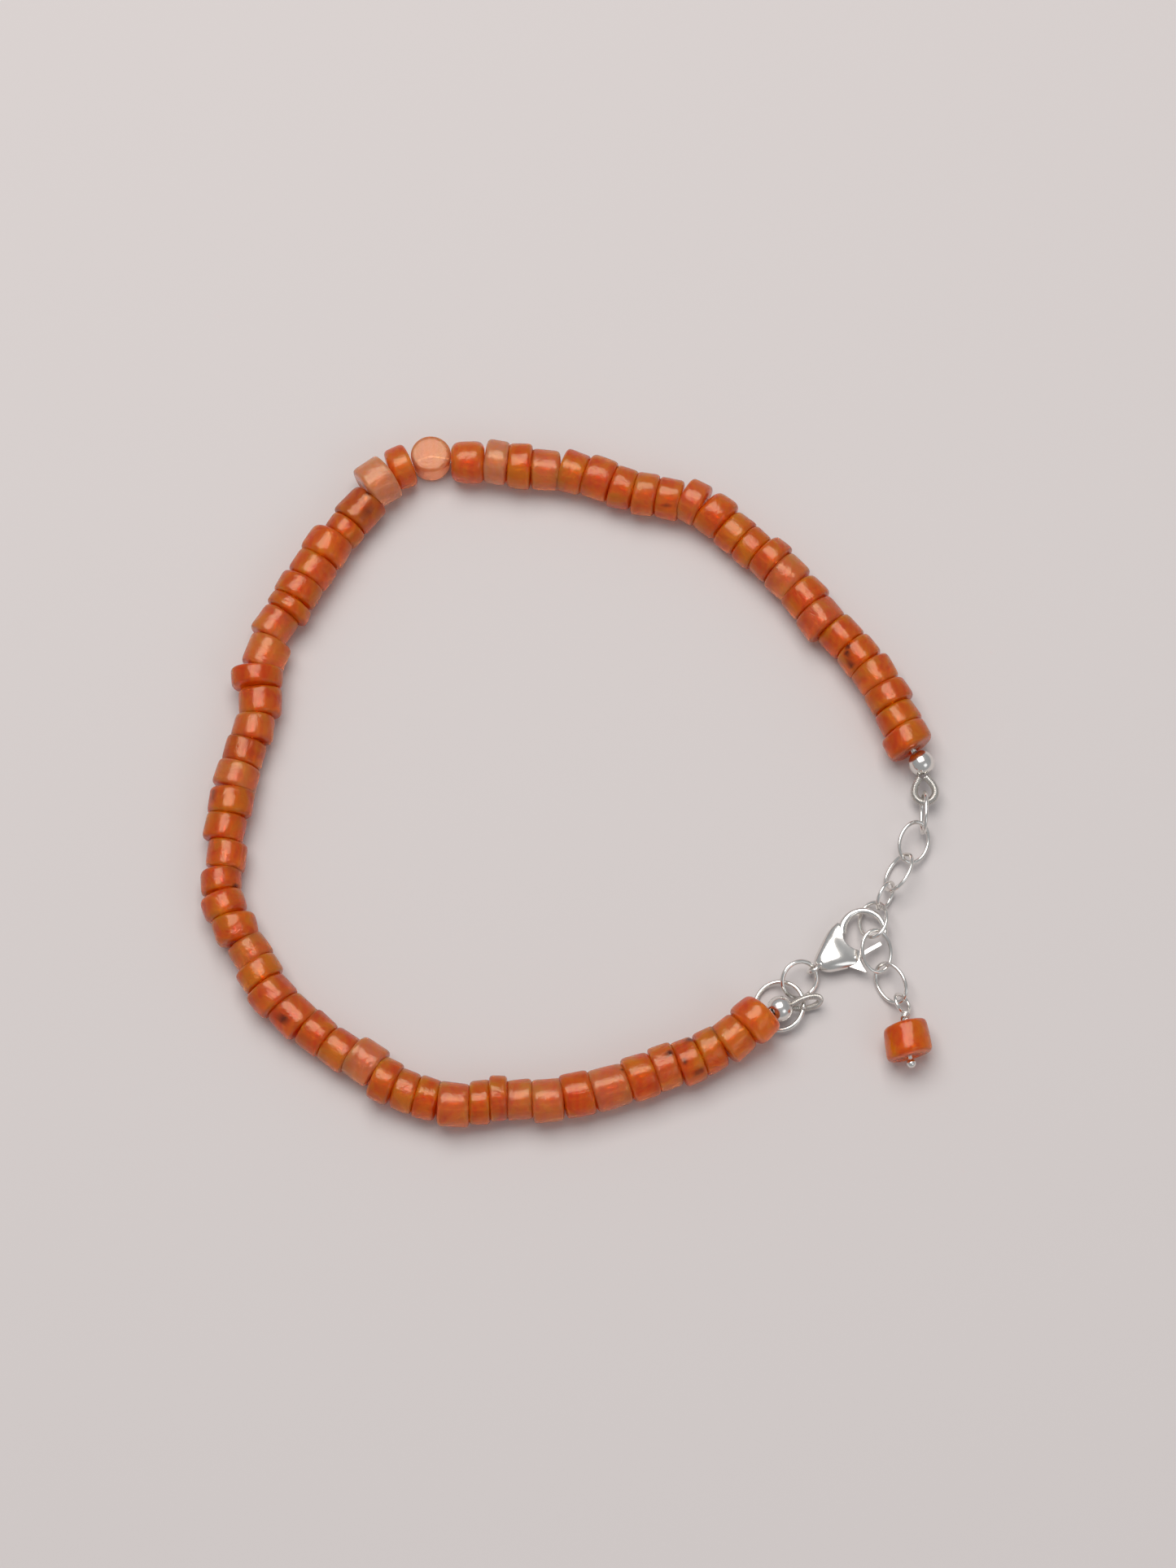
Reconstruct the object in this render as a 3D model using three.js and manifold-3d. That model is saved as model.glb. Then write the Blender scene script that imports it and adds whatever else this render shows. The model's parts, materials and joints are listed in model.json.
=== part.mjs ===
// Gemstone bracelet: a string of carnelian beads, a trigger clasp and an extender chain with a charm.
// Millimetres, +Z up. It lies flat on Z = 0, with the clasp and the chain to the right (+X).

import * as THREE from 'three';
import { mergeVertices } from 'three/addons/utils/BufferGeometryUtils.js';
import Module from 'manifold-3d';

const wasm = await Module();
wasm.setup();

// Bead string
const BEAD_SIDES = 10;
const BEAD_END = 0.78; // radius of a bead's end face, as a share of its own radius
const BEAD_CHAMFER = 0.42; // width of the rounded rim, in mm
const BEAD_SEAT = 1.04; // a bead presses this far into its room on the thread
const THREAD_RADIUS = 0.25;
const THREAD_SIDES = 5;
const THREAD_REACH = 0.75; // how far the thread runs from the end bead's middle to the silver bead's
const LAST_BEAD_RISE = 0.8; // the last bead climbs over the large jump ring
const NEXT_BEAD_RISE = 0.3;
const COIN_BEAD = { thickness: 3.36, diameter: 3.75, height: 2.7, side: -1.42 };

// The line of the string's middle, from the chain's end round to the clasp's end
const STRING_ROUTE = [
  [31.0, 4.17], [28.56, 8.85], [23.26, 16.03], [17.07, 22.5], [11.66, 26.41], [5.19, 28.16],
  [-3.51, 30.23], [-10.91, 30.88], [-15.91, 29.51], [-20.76, 24.96], [-25.57, 17.41],
  [-28.36, 11.34], [-29.33, 4.7], [-30.9, -1.82], [-31.6, -8.48], [-29.93, -14.93],
  [-26.2, -20.49], [-21.28, -25.04], [-15.49, -28.41], [-9.06, -30.22], [-2.37, -29.98],
  [6.3, -27.81], [13.19, -24.98], [16.76, -22.4],
];

// The beads in order. Columns: thickness, diameter, offset to the inside, lean in degrees.
// The coin bead lies flat, with its hole upright, and has no lean.
const BEADS = [
  [2.3, 4.5, 0.1, 0], [2.2, 4.0, -0.2, 3], [2.2, 4.2, -0.4, 0], [2.5, 4.0, -0.5, -3],
  [2.4, 4.0, -0.4, 0], [2.5, 3.8, -0.3, 2], [2.5, 4.2, 0.2, -3], [2.5, 4.1, -0.2, 0],
  [2.6, 4.0, -0.3, 2], [2.1, 4.3, -0.5, 0], [2.0, 3.8, -0.2, -2], [2.2, 3.8, -0.3, 0],
  [2.6, 4.2, -0.6, -5], [2.1, 4.3, -0.8, -7], [2.3, 4.0, -0.5, 0], [2.2, 4.1, -0.4, 4],
  [2.2, 4.0, -0.5, 0], [2.6, 4.1, -0.9, -7], [2.4, 4.1, -0.9, -5], [2.7, 3.8, -0.6, 7],
  [2.2, 4.3, -0.5, 4], [2.2, 4.3, -0.6, -4], [3.1, 4.1, -0.4, 0], 'coin',
  [2.1, 4.1, -1.2, -4], [2.7, 4.5, -1.0, -6], [3.1, 3.8, -0.2, 0], [1.9, 3.7, 0.0, 0],
  [2.7, 4.3, -0.3, 3], [2.5, 4.1, -0.2, 0], [2.2, 4.3, -0.3, 0], [1.5, 4.2, -0.2, 0],
  [2.8, 3.8, -0.6, -7], [3.1, 3.9, -0.1, -2], [1.8, 4.7, -0.2, 10], [2.6, 3.9, 0.4, 7],
  [2.4, 3.9, 0.1, 0], [2.5, 3.7, -0.2, 0], [2.4, 4.0, -0.2, -2], [2.5, 4.1, -0.1, 3],
  [2.5, 3.8, -0.2, -3], [2.6, 3.7, 0.3, -4], [2.2, 3.8, -0.2, -3], [2.4, 4.1, -0.3, 5],
  [2.5, 4.0, 0.1, -5], [2.5, 3.6, 0.5, 6], [2.1, 4.1, 0.2, 0], [2.5, 4.1, -0.1, 3],
  [2.9, 3.8, 0.1, 0], [2.5, 3.8, 0.4, 0], [2.6, 3.7, 0.5, 0], [2.8, 4.0, 0.9, -3],
  [2.1, 4.2, 0.2, 0], [2.1, 3.8, 0.1, 0], [2.1, 3.8, 0.1, 2], [2.8, 4.1, 0.1, 7],
  [1.9, 4.0, 0.6, 7], [1.6, 4.1, 1.0, 3], [2.3, 3.7, 0.8, 0], [2.8, 4.0, 0.4, -3],
  [2.7, 4.1, 0.4, -2], [3.3, 4.0, 0.3, 0], [2.6, 4.2, 0.4, 1], [2.2, 4.1, 0.5, 0],
  [2.2, 4.2, 0.2, 0], [2.2, 4.0, 0.3, 0], [2.5, 4.0, 0.1, 3], [2.6, 4.4, 0.1, 8],
];

// Wire and small parts
const LINK = { length: 4.2, width: 3.2, wire: 0.4, steps: 14, sides: 6 };
const EXTENDER_RING = { diameter: 3.0, wire: 0.4, steps: 16, sides: 6 };
const LARGE_RING = { diameter: 4.95, wire: 0.46, steps: 16, sides: 6 };
const SMALL_RING = { diameter: 3.85, wire: 0.46, steps: 16, sides: 6 };
const GIMP_STEPS = 16;
const GIMP_SIDES = 6;
const SILVER_BEAD = { radius: 1.12, bore: 0.42, steps: 8, sides: 14 };
const CHARM_BEAD = { diameter: 4.2, length: 3.3, bore: 0.42, sides: 14 };
const HEADPIN = { wire: 0.34, loopRadius: 0.92, ball: 0.42, collar: 0.4, pin: 0.2 };

// Places. Columns: x, y, z of the centre, then heading, pitch and roll in degrees.
const SILVER_BEAD_AT_CHAIN = [32.25, 2.02, 1.9, -60, -8, 0];
const SILVER_BEAD_AT_CLASP = [18.99, -21.05, 1.75, 31, -27, 0];
const GIMP_AT_CHAIN = { length: 1.05, width: 0.95, wire: 0.26, place: [32.52, -0.56, 1.6, -82, -14, 10] };
const GIMP_AT_CLASP = { length: 1.2, width: 0.9, wire: 0.25, place: [21.49, -20.4, 1.44, 13, -2, 68] };
const LARGE_RING_PLACE = [18.95, -20.58, 0.84, -11, 14, 2];
const SMALL_RING_PLACE = [20.81, -18.23, 1.25, -50, -34, 0];
const CHAIN_PLACES = {
  oval_link_1: [32.38, -2.68, 1.8, -92, 2, 85],
  oval_link_2: [31.45, -5.36, 1.31, -108, -6, -23],
  oval_link_3: [29.97, -8.21, 1.37, -118, -2, 50],
  oval_link_4: [27.57, -12.69, 1.5, -84, 25, 30],
  oval_link_5: [27.81, -15.69, 1.76, -82, -14, -17],
  oval_link_6: [29.08, -18.51, 1.17, -61, 2, 39],
};
const EXTENDER_RING_PLACE = [28.72, -10.48, 1.6, -120, -3, -69];
const EYE_LOOP_PLACE = [30.06, -20.47, 1.4, -66, 0, -50];
const CHARM_BEAD_PLACE = [30.38, -23.99, 2.1, -82, 0, 0];

// Trigger clasp, in its own frame: x runs from its eye to its hook and z is its middle plane
const CLASP_PLACE = [22.2, -17.06, 1.1, 36.65, 0, 0];
const HOOK = { x: 5.6, radius: 1.95, wire: 0.31, tipWire: 0.26, from: -52, to: 150 };
const HOLLOW = { x: 5.4, halfLength: 1.75, halfWidth: 1.6 };
const EYE = { x: -0.12, y: -0.07, z: 0.1, radius: 0.64, wire: 0.18, tilt: 20 };
// Sections of the cast body. Columns: x, right edge, left edge, half thickness.
const BODY_SECTIONS = [
  [0.28, -0.62, 0.5, 0.42], [0.75, -1.12, 0.82, 0.66], [1.5, -1.52, 1.22, 0.78],
  [2.5, -1.93, 1.72, 0.72], [3.4, -2.22, 2.02, 0.52], [4.25, -1.7, 2.12, 0.38],
];
const PIVOT = { x: 3.44, y: -1.5, pin: 0.14, hole: 0.26, boss: 0.45 };
const GATE = { length: 2.78, halfWidth: 0.19, heading: -7 };
const THUMB_TAB = [[-0.95, -0.3], [0.04, -1.76], [0.3, -0.35]];
const LEVER_HALF = 0.16;
const LEVER_CLEARANCE = 0.13;
const LEVER_OPEN = 15;

function degrees(value) {
  return THREE.MathUtils.degToRad(value);
}

function metal(colour, roughness) {
  return new THREE.MeshStandardMaterial({ color: colour, roughness, metalness: 1 });
}

const STONE = new THREE.MeshStandardMaterial({ color: 0xc8480e, roughness: 0.15, metalness: 0 });
const SILVER = metal(0xe4e1dc, 0.12);
const GIMP_SILVER = metal(0xc9c3ba, 0.3);

function toSolid(geometry) {
  const bare = geometry.clone();
  bare.deleteAttribute('normal');
  bare.deleteAttribute('uv');
  const merged = mergeVertices(bare, 1e-4);
  const vertProperties = new Float32Array(merged.attributes.position.array);
  const triVerts = new Uint32Array(merged.index.array);
  return new wasm.Manifold(new wasm.Mesh({ numProp: 3, vertProperties, triVerts }));
}

function toGeometry(solid) {
  const mesh = solid.getMesh();
  const geometry = new THREE.BufferGeometry();
  geometry.setAttribute('position', new THREE.BufferAttribute(mesh.vertProperties, 3));
  geometry.setIndex(new THREE.BufferAttribute(mesh.triVerts, 1));
  geometry.computeVertexNormals();
  return geometry;
}

function join(geometries) {
  return geometries.map(toSolid).reduce((whole, solid) => whole.add(solid));
}

// A turn about Z to the heading, then the nose up by the pitch, then a roll about the long axis
function placement([x, y, z, heading, pitch, roll]) {
  const turn = new THREE.Euler(degrees(roll), degrees(-pitch), degrees(heading), 'ZYX');
  const quaternion = new THREE.Quaternion().setFromEuler(turn);
  return new THREE.Matrix4().compose(new THREE.Vector3(x, y, z), quaternion, new THREE.Vector3(1, 1, 1));
}

function part(name, geometry, material, place) {
  const mesh = new THREE.Mesh(geometry, material);
  mesh.name = name;
  if (place) mesh.applyMatrix4(placement(place));
  return mesh;
}

// A closed line given by a function of the angle round it
class Loop extends THREE.Curve {
  constructor(pointAt) {
    super();
    this.pointAt = pointAt;
  }

  getPoint(t, target = new THREE.Vector3()) {
    const [x, y] = this.pointAt(t * Math.PI * 2);
    return target.set(x, y, 0);
  }
}

function wireLoop(pointAt, steps, radius, sides) {
  return new THREE.TubeGeometry(new Loop(pointAt), steps, radius, sides, true);
}

function ovalLink() {
  const bend = (LINK.width - LINK.wire) / 2;
  const straight = (LINK.length - LINK.wire) / 2 - bend;
  const pointAt = (a) => [
    bend * Math.cos(a) + straight * Math.sign(Math.round(Math.cos(a) * 1e6)),
    bend * Math.sin(a),
  ];
  return wireLoop(pointAt, LINK.steps, LINK.wire / 2, LINK.sides);
}

function ring({ diameter, wire, steps, sides }) {
  const radius = (diameter - wire) / 2;
  return wireLoop((a) => [radius * Math.cos(a), radius * Math.sin(a)], steps, wire / 2, sides);
}

// An egg-shaped guard loop, fuller on one side
function gimpLoop({ length, width, wire }) {
  const pointAt = (a) => [length * Math.cos(a), width * (1 + 0.1 * Math.cos(a)) * Math.sin(a)];
  return wireLoop(pointAt, GIMP_STEPS, wire, GIMP_SIDES);
}

// A turned shape about X, from rows of distance along X and radius
function turned(rows, sides) {
  const profile = rows.map(([along, radius]) => new THREE.Vector2(radius, along));
  const geometry = new THREE.LatheGeometry(profile, sides);
  geometry.rotateZ(-Math.PI / 2);
  return geometry;
}

function beadRows(thickness, diameter) {
  const half = thickness / 2;
  const radius = diameter / 2;
  const rim = half - BEAD_CHAMFER;
  return [[-half, 0], [-half, radius * BEAD_END], [-rim, radius], [rim, radius], [half, radius * BEAD_END], [half, 0]];
}

// A bead drilled along X, as a closed turned wall
function drilledBead(outerRows, bore, sides) {
  const first = outerRows[0][0];
  const last = outerRows[outerRows.length - 1][0];
  return turned([[first, bore], ...outerRows, [last, bore], [first, bore]], sides);
}

function silverBead() {
  const { radius, bore, steps, sides } = SILVER_BEAD;
  const start = Math.asin((bore + 0.12) / radius);
  const rows = [];
  for (let i = 0; i <= steps; i += 1) {
    const a = start + ((Math.PI - 2 * start) * i) / steps;
    rows.push([-radius * Math.cos(a), radius * Math.sin(a)]);
  }
  return drilledBead(rows, bore, sides);
}

function charmBead() {
  const { diameter, length, bore, sides } = CHARM_BEAD;
  return drilledBead(beadRows(length, diameter).slice(1, -1), bore, sides);
}

// The middle, size and heading of each bead along the string
function beadPlaces() {
  const route = new THREE.CatmullRomCurve3(
    STRING_ROUTE.map(([x, y]) => new THREE.Vector3(x, y, 0)), false, 'centripetal',
  );
  route.arcLengthDivisions = 2000;
  const rows = BEADS.map((bead) => (bead === 'coin'
    ? [COIN_BEAD.thickness, COIN_BEAD.height, COIN_BEAD.side, 0]
    : bead));
  const gaps = rows.slice(1).map((row, i) => (row[0] + rows[i][0]) / 2);
  const total = gaps.reduce((sum, gap) => sum + gap, 0);
  let run = 0;
  return rows.map(([thickness, diameter, side, lean], i) => {
    if (i > 0) run += gaps[i - 1] / total;
    const along = Math.min(run, 1);
    const middle = route.getPointAt(along);
    const way = route.getTangentAt(along);
    const heading = Math.atan2(way.y, way.x);
    const rise = { [rows.length - 1]: LAST_BEAD_RISE, [rows.length - 2]: NEXT_BEAD_RISE }[i] ?? 0;
    const x = middle.x - side * Math.sin(heading);
    const y = middle.y + side * Math.cos(heading);
    const place = [x, y, diameter / 2 + rise, THREE.MathUtils.radToDeg(heading) + lean, 0, 0];
    return { thickness, diameter, place, coin: BEADS[i] === 'coin' };
  });
}

function stringBead({ thickness, diameter, place, coin }) {
  const geometry = coin
    ? turned(beadRows(COIN_BEAD.height, COIN_BEAD.diameter), BEAD_SIDES).rotateY(Math.PI / 2)
    : turned(beadRows(thickness * BEAD_SEAT, diameter), BEAD_SIDES).rotateX(Math.PI / BEAD_SIDES);
  return geometry.applyMatrix4(placement(place));
}

function roundSection(radius, sides) {
  const section = new THREE.Shape();
  for (let i = 0; i < sides; i += 1) {
    const a = (i * 2 * Math.PI) / sides;
    if (i === 0) section.moveTo(radius, 0);
    else section.lineTo(radius * Math.cos(a), radius * Math.sin(a));
  }
  return section;
}

function openTube(points, radius, steps, sides) {
  const path = new THREE.CatmullRomCurve3(points, false, 'centripetal');
  return new THREE.ExtrudeGeometry(roundSection(radius, sides), { steps, extrudePath: path });
}

function beadString() {
  const beads = beadPlaces();
  const middles = beads.map(({ place }) => new THREE.Vector3(place[0], place[1], place[2]));
  const last = middles[middles.length - 1];
  const points = [
    middles[0].clone().lerp(new THREE.Vector3(...SILVER_BEAD_AT_CHAIN), THREAD_REACH),
    ...middles,
    last.clone().lerp(new THREE.Vector3(...SILVER_BEAD_AT_CLASP), THREAD_REACH),
  ];
  const thread = openTube(points, THREAD_RADIUS, points.length - 1, THREAD_SIDES);
  return toGeometry(join([thread, ...beads.map(stringBead)]));
}

function charmHeadpin() {
  const toFrame = placement(CHARM_BEAD_PLACE);
  const onBead = (x) => new THREE.Vector3(x, 0, 0).applyMatrix4(toFrame);
  const half = CHARM_BEAD.length / 2;
  const loop = wireLoop(
    (a) => [HEADPIN.loopRadius * Math.cos(a), HEADPIN.loopRadius * Math.sin(a)],
    16, HEADPIN.wire / 2, 6,
  ).applyMatrix4(placement(EYE_LOOP_PLACE));
  const ballMiddle = onBead(half + HEADPIN.ball + 0.1);
  const neck = onBead(-half - 0.25);
  const loopFoot = new THREE.Vector3(HEADPIN.loopRadius, 0, 0).applyMatrix4(placement(EYE_LOOP_PLACE));
  const pin = openTube([ballMiddle, onBead(0), neck, loopFoot], HEADPIN.pin, 8, 6);
  const collar = openTube([neck, neck.clone().lerp(loopFoot, 0.75)], HEADPIN.collar, 1, 10);
  const ball = new THREE.SphereGeometry(HEADPIN.ball, 10, 7).translate(...ballMiddle);
  return toGeometry(join([loop, pin, collar, ball]));
}

function prism(outline, halfHeight) {
  const shape = new THREE.Shape(outline.map(([x, y]) => new THREE.Vector2(x, y)));
  const geometry = new THREE.ExtrudeGeometry(shape, { depth: 2 * halfHeight, bevelEnabled: false });
  return geometry.translate(0, 0, -halfHeight);
}

function disc(radius, halfHeight, sides) {
  return new THREE.CylinderGeometry(radius, radius, 2 * halfHeight, sides).rotateX(Math.PI / 2);
}

// The lever about its own pivot, grown on all sides by the clearance
function leverSolid(clearance) {
  const half = LEVER_HALF + clearance;
  const halfWidth = GATE.halfWidth + clearance;
  const length = GATE.length + clearance;
  const gate = prism([[0, -halfWidth], [length, -halfWidth], [length, halfWidth], [0, halfWidth]], half);
  gate.rotateZ(degrees(GATE.heading));
  const middleX = THUMB_TAB.reduce((sum, [x]) => sum + x, 0) / THUMB_TAB.length;
  const grown = THUMB_TAB.map(([x, y]) => [x + Math.sign(x - middleX) * clearance, y - clearance]);
  const root = [[grown[2][0], 0.1 + clearance], [grown[0][0], 0.1 + clearance]];
  return join([gate, disc(PIVOT.boss + clearance, half, 14), prism([...grown, ...root], half)]);
}

function claspLever() {
  const hole = toSolid(disc(PIVOT.hole, 1, 12));
  return toGeometry(leverSolid(0).subtract(hole)).translate(PIVOT.x, PIVOT.y, 0);
}

// The room that the lever sweeps, as the lever grown by its clearance at several angles
function leverPocket() {
  const room = leverSolid(LEVER_CLEARANCE);
  const turns = [0, 0.25, 0.5, 0.75, 1].map((share) => room.rotate([0, 0, share * LEVER_OPEN]));
  return turns.reduce((whole, solid) => whole.add(solid)).translate([PIVOT.x, PIVOT.y, 0]);
}

// A body through rounded sections across X
function loft(sections, sides) {
  const positions = [];
  sections.forEach(([x, right, left, half]) => {
    for (let i = 0; i < sides; i += 1) {
      const a = (i * 2 * Math.PI) / sides;
      const flat = Math.sign(Math.cos(a)) * Math.abs(Math.cos(a)) ** 0.8;
      const y = (left + right) / 2 + ((left - right) / 2) * flat;
      positions.push(x, y, half * Math.sin(a));
    }
  });
  const index = [];
  for (let row = 0; row < sections.length - 1; row += 1) {
    for (let i = 0; i < sides; i += 1) {
      const a = row * sides + i;
      const b = row * sides + ((i + 1) % sides);
      index.push(a, b, a + sides, b, b + sides, a + sides);
    }
  }
  const last = (sections.length - 1) * sides;
  for (let i = 1; i < sides - 1; i += 1) {
    index.push(0, i + 1, i, last, last + i, last + i + 1);
  }
  const geometry = new THREE.BufferGeometry();
  geometry.setAttribute('position', new THREE.Float32BufferAttribute(positions, 3));
  geometry.setIndex(index);
  return geometry;
}

// The hook's arm, thinner at its tip, from the tip round to the body
function hookArm() {
  const steps = 14;
  const sides = 8;
  const positions = [];
  for (let row = 0; row <= steps; row += 1) {
    const a = degrees(HOOK.from + ((HOOK.to - HOOK.from) * row) / steps);
    const wire = THREE.MathUtils.lerp(HOOK.tipWire, HOOK.wire, Math.min(1, (3 * row) / steps));
    for (let i = 0; i < sides; i += 1) {
      const b = (i * 2 * Math.PI) / sides;
      const reach = HOOK.radius + wire * Math.cos(b);
      positions.push(HOOK.x + reach * Math.cos(a), reach * Math.sin(a), wire * Math.sin(b));
    }
  }
  const index = [];
  for (let row = 0; row < steps; row += 1) {
    for (let i = 0; i < sides; i += 1) {
      const a = row * sides + i;
      const b = row * sides + ((i + 1) % sides);
      index.push(a, a + sides, b, b, a + sides, b + sides);
    }
  }
  const last = steps * sides;
  for (let i = 1; i < sides - 1; i += 1) {
    index.push(0, i, i + 1, last, last + i + 1, last + i);
  }
  const geometry = new THREE.BufferGeometry();
  geometry.setAttribute('position', new THREE.Float32BufferAttribute(positions, 3));
  geometry.setIndex(index);
  return geometry;
}

function claspBody() {
  const hollow = disc(1, 2, 24).scale(HOLLOW.halfLength, HOLLOW.halfWidth, 1).translate(HOLLOW.x, 0, 0);
  const eye = wireLoop((a) => [EYE.radius * Math.cos(a), EYE.radius * Math.sin(a)], 14, EYE.wire, 6);
  eye.rotateX(degrees(90 + EYE.tilt)).translate(EYE.x, EYE.y, EYE.z);
  const cast = toSolid(loft(BODY_SECTIONS, 16)).subtract(toSolid(hollow));
  const pin = toSolid(disc(PIVOT.pin, 0.42, 8).translate(PIVOT.x, PIVOT.y, 0));
  const whole = cast.add(toSolid(hookArm())).add(toSolid(eye));
  return toGeometry(whole.subtract(leverPocket()).add(pin));
}

function buildBracelet() {
  const bracelet = new THREE.Group();
  bracelet.name = 'bracelet';
  bracelet.add(
    part('bead_string', beadString(), STONE),
    part('silver_bead_chain_end', silverBead(), SILVER, SILVER_BEAD_AT_CHAIN),
    part('silver_bead_clasp_end', silverBead(), SILVER, SILVER_BEAD_AT_CLASP),
    part('gimp_loop_chain_end', gimpLoop(GIMP_AT_CHAIN), GIMP_SILVER, GIMP_AT_CHAIN.place),
    part('gimp_loop_clasp_end', gimpLoop(GIMP_AT_CLASP), GIMP_SILVER, GIMP_AT_CLASP.place),
    part('large_jump_ring', ring(LARGE_RING), SILVER, LARGE_RING_PLACE),
    part('small_jump_ring', ring(SMALL_RING), SILVER, SMALL_RING_PLACE),
    part('clasp_body', claspBody(), SILVER, CLASP_PLACE),
    part('clasp_lever', claspLever(), SILVER, CLASP_PLACE),
    part('extender_ring', ring(EXTENDER_RING), SILVER, EXTENDER_RING_PLACE),
    part('charm_bead', charmBead(), STONE, CHARM_BEAD_PLACE),
    part('charm_headpin', charmHeadpin(), SILVER),
  );
  Object.entries(CHAIN_PLACES).forEach(([name, place]) => {
    bracelet.add(part(name, ovalLink(), SILVER, place));
  });
  return bracelet;
}

// The whole stands on Z = 0 with the middle of its box over the origin
function standAtOrigin(object) {
  object.updateMatrixWorld(true);
  const box = new THREE.Box3().setFromObject(object, true);
  const middle = box.getCenter(new THREE.Vector3());
  object.position.set(-middle.x, -middle.y, -box.min.z);
}

const group = buildBracelet();
standAtOrigin(group);

export default group;
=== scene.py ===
"""Gemstone bracelet: carnelian beads, silver findings, a trigger clasp and an extender chain."""

import json
import math
import random

import bmesh
import bpy
import numpy as np
from mathutils import Matrix, Vector, noise


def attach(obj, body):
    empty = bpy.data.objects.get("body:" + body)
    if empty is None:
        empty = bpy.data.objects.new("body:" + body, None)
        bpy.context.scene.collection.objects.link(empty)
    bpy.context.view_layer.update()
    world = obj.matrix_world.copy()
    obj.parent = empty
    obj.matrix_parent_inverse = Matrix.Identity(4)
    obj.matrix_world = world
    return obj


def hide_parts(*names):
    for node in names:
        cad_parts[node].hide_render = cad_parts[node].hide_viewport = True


bl_info = {
    "name": "Gemstone bracelet",
    "version": (1, 0, 0),
    "blender": (4, 5, 0),
    "location": "View3D > Sidebar > Bracelet",
    "description": "Builds a carnelian bead bracelet with silver findings",
    "category": "Add Mesh",
}

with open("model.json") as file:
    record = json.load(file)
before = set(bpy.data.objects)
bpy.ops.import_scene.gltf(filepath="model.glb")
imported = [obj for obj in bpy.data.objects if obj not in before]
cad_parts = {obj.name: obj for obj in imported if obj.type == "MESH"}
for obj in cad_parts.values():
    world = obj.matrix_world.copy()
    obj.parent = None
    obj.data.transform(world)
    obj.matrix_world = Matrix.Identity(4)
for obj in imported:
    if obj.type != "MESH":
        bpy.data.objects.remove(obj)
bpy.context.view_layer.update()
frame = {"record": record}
HINGE = frame["record"]["behaviour"]["joints"][0]

MM = 0.001
SEED = 7

# Places in the bracelet's drawing: x, y and z of the middle in mm, then heading, pitch and roll
# in degrees
CLASP_PLACE = (22.2, -17.06, 1.1, 36.65, 0, 0)
SILVER_BEAD_PLACES = {
    "silver_bead_chain_end": (32.25, 2.02, 1.9, -60, -8, 0),
    "silver_bead_clasp_end": (18.99, -21.05, 1.75, 31, -27, 0),
}
# Silver beads: how far the rim stands off the hole and how deep the lip turns in, in mm
SILVER_BEAD = {"rim": 0.08, "lip": 0.07, "rows": 32, "sides": 48}
# Guard loops of coiled wire: length and width of the egg shape, outer radius of the coil, place
GIMP_LOOPS = {
    "gimp_loop_chain_end": (1.05, 0.97, 0.37, (32.52, -0.56, 1.6, -82, -14, 10)),
    "gimp_loop_clasp_end": (1.18, 0.86, 0.31, (21.49, -20.4, 1.44, 13, -2, 68)),
}
# Gimp: half the angle that the loop goes round, how far its ends reach in to the neck in mm, how
# far its round is egg shaped, and the coil's pitch and core in radii of its wire
COIL_WIRE = 0.065
GIMP = {"half_turn": 162, "neck": 0.4, "egg": 0.1, "pitch": 2.1, "core": 1.5, "steps": 60}
# Wire loops: length, width and wire over all in mm, half the cut between their ends in degrees,
# and place
OVAL_LINK = (4.2, 3.2, 0.4, 0)
WIRE_LOOPS = {
    "large_jump_ring": (4.95, 4.95, 0.46, 0.6, (18.95, -20.58, 0.84, -11, 14, 2)),
    "small_jump_ring": (3.85, 3.85, 0.46, 0.7, (20.81, -18.23, 1.25, -50, -34, 0)),
    "extender_ring": (3.0, 3.0, 0.4, 0.8, (28.72, -10.48, 1.6, -120, -3, -69)),
    "oval_link_1": (*OVAL_LINK, (32.38, -2.68, 1.8, -92, 2, 85)),
    "oval_link_2": (*OVAL_LINK, (31.45, -5.36, 1.31, -108, -6, -23)),
    "oval_link_3": (*OVAL_LINK, (29.97, -8.21, 1.37, -118, -2, 50)),
    "oval_link_4": (*OVAL_LINK, (27.57, -12.69, 1.5, -84, 25, 30)),
    "oval_link_5": (*OVAL_LINK, (27.81, -15.69, 1.76, -82, -14, -17)),
    "oval_link_6": (*OVAL_LINK, (29.08, -18.51, 1.17, -61, 2, 39)),
}
LOOP_STEPS = 72
LOOP_SIDES = 18

EYE_LOOP_PLACE = (30.06, -20.47, 1.4, -66, 0, -50)
CHARM_BEAD_PLACE = (30.38, -23.99, 2.1, -82, 0, 0)
CHARM_BEAD = {"diameter": 4.25, "length": 3.1, "roundness": 0.3, "slant": -6, "number": 90}
# Head pin, in mm: reach is from the bead's middle to where the ball's gap and the neck begin
HEADPIN = {
    "wire": 0.34, "loop_radius": 0.92, "ball": 0.42, "reach": 1.65, "ball_gap": 0.1, "neck": 0.25,
    "wraps": 3.5, "wrap_wire": 0.13, "wrap_radius": 0.28, "wrap_share": 0.8,
}

# The line of the string's middle, from the chain's end round to the clasp's end, in mm
STRING_ROUTE = [
    (31.0, 4.17), (28.56, 8.85), (23.26, 16.03), (17.07, 22.5), (11.66, 26.41), (5.19, 28.16),
    (-3.51, 30.23), (-10.91, 30.88), (-15.91, 29.51), (-20.76, 24.96), (-25.57, 17.41),
    (-28.36, 11.34), (-29.33, 4.7), (-30.9, -1.82), (-31.6, -8.48), (-29.93, -14.93),
    (-26.2, -20.49), (-21.28, -25.04), (-15.49, -28.41), (-9.06, -30.22), (-2.37, -29.98),
    (6.3, -27.81), (13.19, -24.98), (16.76, -22.4),
]
STRING_STEPS = 60  # from one point of the route to the next

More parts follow.
